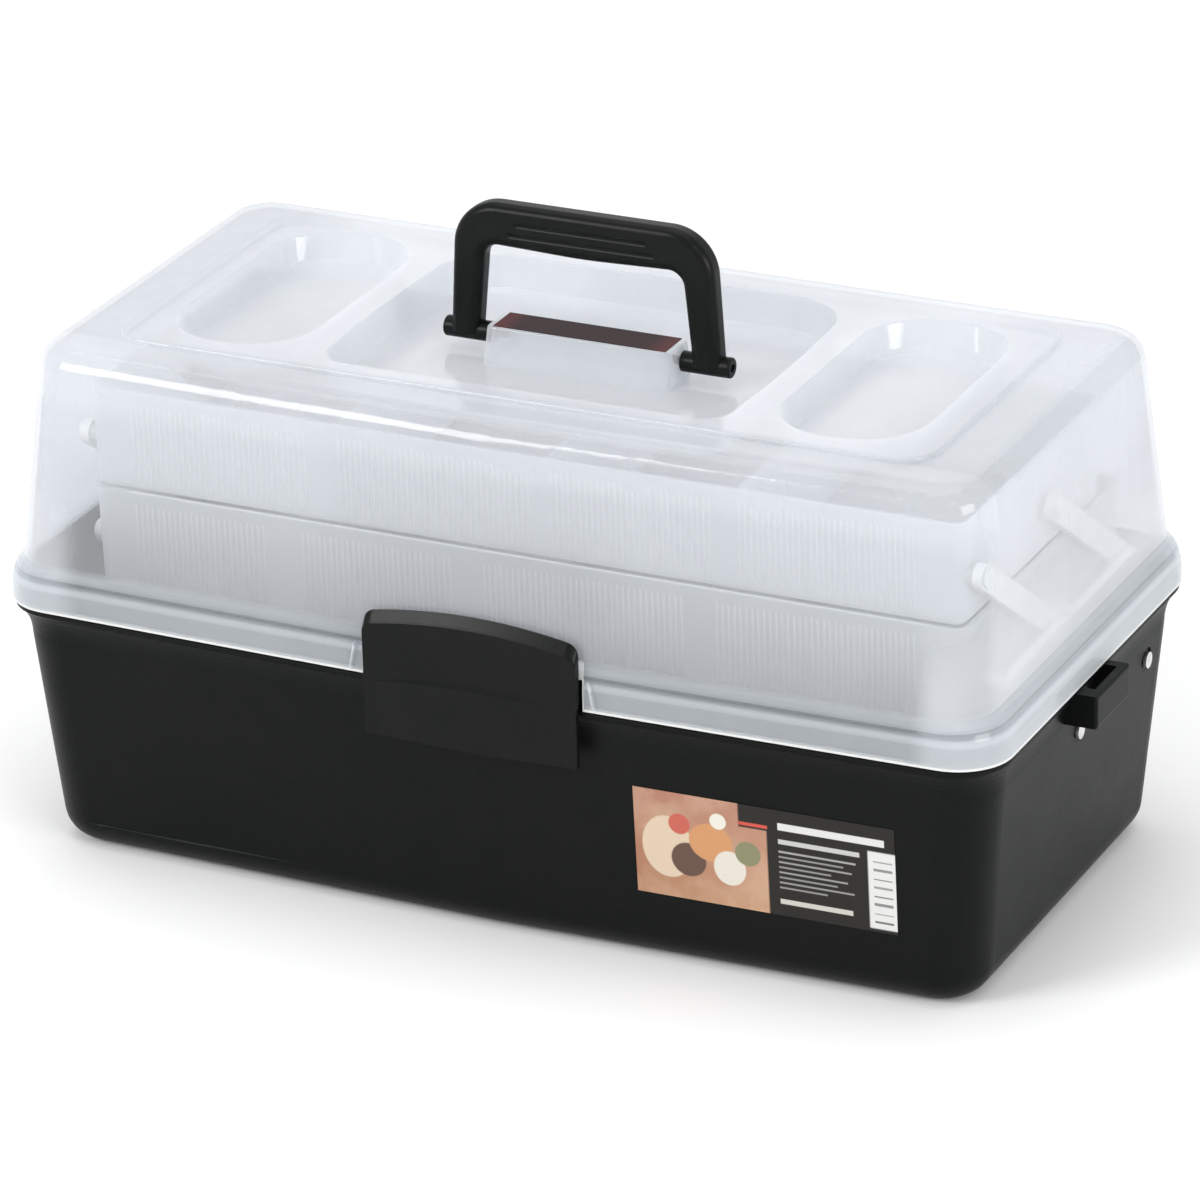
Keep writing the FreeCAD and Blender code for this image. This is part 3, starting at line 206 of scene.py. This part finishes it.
def lid_extra(n, col, a):
    """The skirt is hazier than the walls, its cut edge gets a painted highlight, a thin near-white line standing
    in for light carried along the edge, and the groove over the rim of the tub stays clearer and gets painted shade."""
    x, y, z = n.xyz()
    skirt = n.step(z, 0.1440, 0.1500, 1.0, 0.0)
    a = n.m("MULTIPLY_ADD", skirt, 0.20, a)
    low = n.step(z, 0.1500, 0.2000, 1.0, 0.0)
    ends = n.m("MAXIMUM", n.step(x, 0.2100, 0.2225), n.step(x, -0.2190, -0.2030, 1.0, 0.0))
    a = n.m("MULTIPLY_ADD", low, 0.03, a)
    a = n.m("MULTIPLY_ADD", n.m("MULTIPLY", low, ends), 0.20, a)
    top = n.m("MULTIPLY", n.step(z, 0.2270, 0.2340), n.step(y, -0.0900, -0.0840))
    inner = n.m("MULTIPLY", top, n.step(n.m("ABSOLUTE", x), 0.150, 0.215, 1.0, 0.0))
    a = n.m("MULTIPLY_ADD", inner, 0.17, a)
    slope = n.m("MULTIPLY", n.step(z, 0.2200, 0.2300), n.step(y, -0.0900, -0.0840, 1.0, 0.0))
    a = n.m("MULTIPLY_ADD", slope, 0.06, a)
    col = n.mix(slope, col, (0.88, 0.89, 0.91))
    col = n.mix(n.m("MAXIMUM", inner, n.m("MULTIPLY", low, ends)), col, (0.90, 0.91, 0.93))
    col = n.mix(skirt, col, (0.79, 0.83, 0.86))
    # groove over the tub's rim: the wall is clearer here, and its colour is pulled towards dark grey-blue as painted
    # shade in the hollow above the shoulder
    groove = n.m("MULTIPLY", n.step(z, 0.1390, 0.1400), n.step(z, 0.1420, 0.1428, 1.0, 0.0))
    a = n.m("MULTIPLY_ADD", groove, -0.20, a, clamp=True)
    col = n.mix(n.m("MULTIPLY", groove, 0.30), col, (0.45, 0.50, 0.53))
    shine = n.m("MULTIPLY", n.step(z, 0.1352, 0.1366), n.step(z, 0.1380, 0.1390, 1.0, 0.0))
    a = n.m("MULTIPLY_ADD", shine, 0.16, a, clamp=True)
    # painted highlight: the skirt's cut edge and the lid's front faces at the latch notch are made near opaque and near
    # white
    edge = n.step(z, 0.1262, 0.1268, 1.0, 0.0)
    beside = n.m("MULTIPLY", n.step(n.m("ABSOLUTE", x), 0.0552, 0.0557, 1.0, 0.0), n.step(y, -0.1290, -0.1284, 1.0, 0.0))
    beside = n.m("MULTIPLY", beside, n.step(z, 0.1490, 0.1500, 1.0, 0.0))
    edge = n.m("MAXIMUM", edge, beside)
    a = n.m("MAXIMUM", a, n.m("MULTIPLY", edge, 0.93))
    col = n.mix(edge, col, (0.99, 0.99, 0.98))
    return col, a


lid_mat = milky("milky_lid_polypropylene", (0.80, 0.81, 0.83), (0.916, 0.927, 0.943), 0.19, 0.12, ripple=0.015, extra=lid_extra)
tray_mat = milky("tray_polypropylene", (0.955, 0.955, 0.95), (0.97, 0.975, 0.98), 0.68, 0.22, ripple=0.03)
rib_mat = milky("tray_rib_polypropylene", (0.96, 0.96, 0.955), (0.97, 0.975, 0.98), 0.86, 0.22, ripple=0.02)
divider_mat = milky("divider_polypropylene", (0.955, 0.955, 0.955), (0.98, 0.985, 0.99), 0.50, 0.22, ripple=0.03)


def metal(name, col, rough, brushed):
    n = Net(name)
    cloud = n.noise(180.0, 3.0, 0.6)
    lines = n.noise(420.0, 3.0, 0.6, vec=n.stretch(*brushed))
    c = n.mix(n.step(cloud, 0.35, 0.65), [v * 0.85 for v in col], col)
    r = n.m("MULTIPLY_ADD", lines, 0.22, rough - 0.1, clamp=True)
    nor = n.bump(lines, 0.12, 0.00008)
    p = n.add("ShaderNodeBsdfPrincipled", Base_Color=c, Roughness=r, Normal=nor)
    p.inputs["Metallic"].default_value = 1.0
    return n.done(p.outputs[0])


rivet = metal("rivet_aluminium", (0.78, 0.78, 0.77), 0.34, (1, 1, 1))
steel = metal("bright_steel", (0.56, 0.56, 0.57), 0.28, (0.06, 1, 1))


def strip_label():
    """Dark red strip on the boss, left blank: redder ends."""
    n = Net("dark_strip")
    x = n.xyz()[0]
    ends = n.step(n.m("ABSOLUTE", x), 0.030, 0.0435)
    grain = n.noise(700.0, 3.0, 0.6)
    col = n.mix(ends, (0.018, 0.006, 0.008), (0.085, 0.016, 0.017))
    col = n.mix(n.m("MULTIPLY", grain, 0.25), col, (0.05, 0.02, 0.02))
    p = n.add("ShaderNodeBsdfPrincipled", Base_Color=col,
              Roughness=n.m("MULTIPLY_ADD", grain, 0.10, 0.34),
              Normal=n.bump(n.noise(1200.0, 2.0), 0.03, 0.0001))
    p.inputs["Specular IOR Level"].default_value = 0.06
    return n.done(p.outputs[0])


def front_label():
    """Printed film on the front: warm picture field of plain overlapping shapes, dark band, white block."""
    n = Net("printed_film")
    x, z = n.xyz()[0], n.xyz()[2]
    u = n.step(x, 0.075, 0.201, kind="LINEAR")
    v = n.step(z, 0.0355, 0.0890, kind="LINEAR")
    tone = n.noise(34.0, 4.0, 0.6)
    warm = n.mix(u, (0.33, 0.155, 0.08), (0.52, 0.31, 0.19))
    warm = n.mix(n.m("MULTIPLY", v, 0.55), warm, (0.36, 0.16, 0.13))
    warm = n.mix(n.step(tone, 0.4, 0.7, 0.0, 0.35), warm, (0.60, 0.44, 0.31))

    def disc(cx, cz, r, sq=1.0):
        dx = n.m("SUBTRACT", x, cx)
        dz = n.m("MULTIPLY", n.m("SUBTRACT", z, cz), sq)
        d = n.m("SQRT", n.m("ADD", n.m("MULTIPLY", dx, dx), n.m("MULTIPLY", dz, dz)))
        return n.step(d, r - 0.0003, r + 0.0003, 1.0, 0.0, kind="LINEAR")

    for cx, cz, r, sq, c in ((0.091, 0.061, 0.0125, 0.8, (0.58, 0.46, 0.34)),
                             (0.101, 0.056, 0.0085, 1.0, (0.10, 0.055, 0.04)),
                             (0.112, 0.0665, 0.0105, 1.1, (0.52, 0.25, 0.11)),
                             (0.121, 0.0550, 0.0078, 0.9, (0.62, 0.58, 0.51)),
                             (0.130, 0.0640, 0.0062, 1.0, (0.20, 0.20, 0.11)),
                             (0.097, 0.0735, 0.0052, 1.0, (0.46, 0.10, 0.07)),
                             (0.116, 0.0780, 0.0040, 1.0, (0.66, 0.63, 0.55))):
        warm = n.mix(disc(cx, cz, r, sq), warm, c)
    dark = (0.0045, 0.0045, 0.0043)
    col = warm
    # dark field on the right with a stepped edge, and a band along the top
    col = n.mix(box_mask(n, 0.1395, 0.21, 0.03, 0.10), col, dark)
    col = n.mix(box_mask(n, 0.126, 0.21, 0.0775, 0.10), col, dark)
    # white block at the right end with plain grey bars
    col = n.mix(box_mask(n, 0.1880, 0.2015, 0.0372, 0.0762), col, (0.62, 0.62, 0.61))
    for i, (w, g) in enumerate(((0.0011, 0.14), (0.0006, 0.30), (0.0015, 0.20), (0.0007, 0.16), (0.0012, 0.26),
                                (0.0006, 0.18), (0.0014, 0.22), (0.0008, 0.30))):
        z0 = 0.0400 + i * 0.0044
        col = n.mix(box_mask(n, 0.1905, 0.1995, z0, z0 + w, 0.0001), col, (g, g, g))
    # plain pale blocks in the dark field
    for x0, x1, z0, z1, c in ((0.145, 0.196, 0.0790, 0.0826, (0.60, 0.60, 0.59)),
                              (0.145, 0.184, 0.0720, 0.0744, (0.46, 0.46, 0.45)),
                              (0.145, 0.182, 0.0676, 0.0686, (0.30, 0.30, 0.29)),
                              (0.145, 0.176, 0.0650, 0.0659, (0.22, 0.22, 0.21)),
                              (0.145, 0.180, 0.0624, 0.0633, (0.26, 0.26, 0.25)),
                              (0.145, 0.170, 0.0598, 0.0607, (0.22, 0.22, 0.21)),
                              (0.145, 0.178, 0.0572, 0.0581, (0.26, 0.26, 0.25)),
                              (0.145, 0.173, 0.0546, 0.0555, (0.22, 0.22, 0.21)),
                              (0.145, 0.181, 0.0520, 0.0529, (0.24, 0.24, 0.23)),
                              (0.145, 0.168, 0.0494, 0.0503, (0.22, 0.22, 0.21)),
                              (0.145, 0.180, 0.0415, 0.0440, (0.50, 0.48, 0.44)),
                              (0.126, 0.140, 0.0785, 0.0802, (0.50, 0.07, 0.05))):
        col = n.mix(box_mask(n, x0, x1, z0, z1, 0.00015), col, c)
    film = n.noise(5200.0, 2.0, 0.6)
    col = n.mix(n.m("MULTIPLY", film, 0.16), col, n.mix(0.5, col, (0.5, 0.45, 0.4)))
    p = n.add("ShaderNodeBsdfPrincipled", Base_Color=col,
              Roughness=n.m("MULTIPLY_ADD", n.noise(260.0, 3.0), 0.12, 0.26),
              Normal=n.bump(n.noise(55.0, 2.0), 0.10, 0.0008))
    p.inputs["Specular IOR Level"].default_value = 0.10
    return n.done(p.outputs[0])


strip = strip_label()
label = front_label()


def material_of(name):
    if name == "base_tub" or name.startswith(("strap_lug", "tub_knuckles", "arm_bracket")):
        return black
    if name in ("handle", "latch") or name.startswith("handle_pin"):
        return black_fine
    if name == "lid_shell":
        return lid_mat
    if "divider" in name:
        return divider_mat
    if name in ("upper_tray", "lower_tray"):
        return tray_mat
    if name == "boss_label":
        return strip
    if name == "front_label":
        return label
    if name.startswith("bracket_rivets"):
        return rivet
    if name.startswith(("hinge_pin", "latch_rod")):
        return steel
    return white


for name, obj in nodes.items():
    obj.data.materials.clear()
    obj.data.materials.append(material_of(name))


# ------------------------------------------------------------ detail pieces
def new_piece(name, bm, body, mat, smooth=True):
    me = bpy.data.meshes.new(name)
    bm.to_mesh(me)
    bm.free()
    if smooth:
        for p in me.polygons:
            p.use_smooth = True
    ob = bpy.data.objects.new(name, me)
    scene.collection.objects.link(ob)
    me.materials.append(mat)
    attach(ob, body)
    return ob


def ribs(name, body, z0, z1, drop, plain, pitch=2.9):
    """Upright half round ribs on a tray's front wall. plain: bands of x, mm, with none."""
    bm = bmesh.new()
    lo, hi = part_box(body)
    y_top, y_bot = lo.y, lo.y
    half = 0.55 * MM
    x = -205.0
    while x <= 205.0:
        if not any(a <= x <= b for a, b in plain):
            rows = []
            for k, z in enumerate((z0, z0 + 0.8, z1 - 0.8, z1)):
                t = (z - z0) / (z1 - z0)
                yw = front_of(body, z)
                out = 0.05 if k in (0, 3) else 0.42
                ring = []
                for ang in range(0, 181, 45):
                    c, s = math.cos(math.radians(ang)), math.sin(math.radians(ang))
                    ring.append(bm.verts.new(((x * MM) + half * c, (yw - out * s + 0.06) * MM, z * MM)))
                rows.append(ring)
            for a, b in zip(rows, rows[1:]):
                for i in range(4):
                    bm.faces.new((a[i], a[i + 1], b[i + 1], b[i]))
            bm.faces.new(rows[0])
            bm.faces.new(list(reversed(rows[-1])))
        x += pitch
    bmesh.ops.recalc_face_normals(bm, faces=bm.faces)
    return new_piece(name, bm, body, rib_mat)


def bead(name, body, z, half_len, r):
    """Half round bead along the top front edge of a tray, tapered at its ends."""
    bm = bmesh.new()
    rows = []
    for x, k in ((-half_len, 0.3), (-half_len + 3, 1.0), (-70, 1.0), (70, 1.0), (half_len - 3, 1.0), (half_len, 0.3)):
        ring = []
        for ang in range(0, 181, 30):
            c, s = math.cos(math.radians(ang)), math.sin(math.radians(ang))
            ring.append(bm.verts.new((x * MM, (front_of(body, z) - r * k * s + 0.05) * MM, (z + r * k * c) * MM)))
        rows.append(ring)
    for a, b in zip(rows, rows[1:]):
        for i in range(6):
            bm.faces.new((a[i], a[i + 1], b[i + 1], b[i]))
    bm.faces.new(rows[0])
    bm.faces.new(list(reversed(rows[-1])))
    bmesh.ops.recalc_face_normals(bm, faces=bm.faces)
    return new_piece(name, bm, body, rib_mat)


def front_of(body, z):
    """Front face of a tray's wall at height z, mm: the wall leans by its draft."""
    zb, zt = (122.0, 172.4) if body == "lower_tray" else (173.4, 222.5)
    return -82.0 + SHIFT + 1.2 * (zt - z) / (zt - zb)


ribs("upper_tray_ribs", "upper_tray", 177.5, 216.5, 1.2, [(-220, -198), (-104, -90), (7, 17), (97, 111), (198, 220)])
ribs("lower_tray_ribs", "lower_tray", 126.5, 166.5, 1.2, [(-220, -198), (-127, -112), (-33, -19), (85, 99), (198, 220)])
bead("lower_tray_bead", "lower_tray", 172.35, 200.0, 0.75)


# ---------------------------------------------------------- floor and light
def floor():
    bm = bmesh.new()
    n = 24
    for i in range(n):
        a = 2 * math.pi * i / n
        bm.verts.new((40 * math.cos(a), 40 * math.sin(a), -0.0002))
    bm.faces.new(bm.verts)
    me = bpy.data.meshes.new("floor")
    bm.to_mesh(me)
    bm.free()
    ob = bpy.data.objects.new("floor", me)
    scene.collection.objects.link(ob)
    n = Net("pale_floor")
    tone = n.noise(1.5, 2.0, 0.5)
    p = n.add("ShaderNodeBsdfPrincipled", Base_Color=n.mix(tone, (0.84, 0.84, 0.84), (0.87, 0.87, 0.87)))
    p.inputs["Roughness"].default_value = 0.9
    p.inputs["Specular IOR Level"].default_value = 0.1
    me.materials.append(n.done(p.outputs[0]))


floor()


def area(name, loc, target, size, watts, color=(1, 1, 1), size_y=None):
    li = bpy.data.lights.new(name, "AREA")
    li.energy = watts
    li.color = color
    li.shape = "RECTANGLE" if size_y else "SQUARE"
    li.size = size
    if size_y:
        li.size_y = size_y
    ob = bpy.data.objects.new(name, li)
    ob.location = loc
    ob.rotation_mode = "QUATERNION"
    ob.rotation_quaternion = (Vector(target) - Vector(loc)).to_track_quat("-Z", "Y")
    scene.collection.objects.link(ob)
    return ob


area("overhead_softbox", (-0.2, 0.3, 3.2), (0, 0, 0.1), 2.6, 31)
area("front_left_softbox", (-2.2, -3.0, 2.2), (0, 0, 0.12), 1.6, 86)
area("right_softbox", (3.0, -0.9, 1.0), (0, 0, 0.15), 1.6, 40, size_y=1.2)
area("back_softbox", (-0.8, 3.2, 2.0), (0, 0, 0.2), 2.0, 8)
area("small_lamp", (1.9, -1.9, 2.6), (0.1, -0.05, 0.22), 0.22, 7)

world = bpy.data.worlds.new("studio")
world.use_nodes = True
scene.world = world
wt = world.node_tree
bg = wt.nodes["Background"]
bg.inputs["Color"].default_value = (0.985, 0.99, 1.0, 1.0)
bg.inputs["Strength"].default_value = 0.83

scene.view_settings.view_transform = "Standard"
scene.view_settings.look = "None"
scene.view_settings.exposure = 0.0
scene.view_settings.gamma = 1.0
scene.cycles.transparent_max_bounces = 40
scene.cycles.max_bounces = 8
scene.cycles.transmission_bounces = 4
scene.cycles.diffuse_bounces = 4


# ------------------------------------------------------------------- camera
def camera():
    a, e, roll = 0.4534082930264592, 0.41401934100704063, -0.025696910282480185
    back = Vector((math.sin(a) * math.cos(e), -math.cos(a) * math.cos(e), math.sin(e)))
    fwd = -back
    right = fwd.cross(Vector((0, 0, 1))).normalized()
    up = right.cross(fwd)
    c, s = math.cos(roll), math.sin(roll)
    r2 = c * right + s * up
    u2 = -s * right + c * up
    cam = bpy.data.cameras.new("camera")
    cam.sensor_fit = "HORIZONTAL"
    cam.sensor_width = 36.0
    cam.lens = 6896.837 / 1200.0 * 36.0
    cam.shift_x = 0.004933
    cam.shift_y = 0.00008
    cam.clip_start, cam.clip_end = 0.05, 200.0
    ob = bpy.data.objects.new("camera", cam)
    scene.collection.objects.link(ob)
    rot = Matrix((r2, u2, back)).transposed()
    ob.matrix_world = Matrix.Translation((1.285292, (-2640.396 + SHIFT) / 1000.0, 1.407924)) @ rot.to_4x4()
    scene.camera = ob
    return ob


camera()
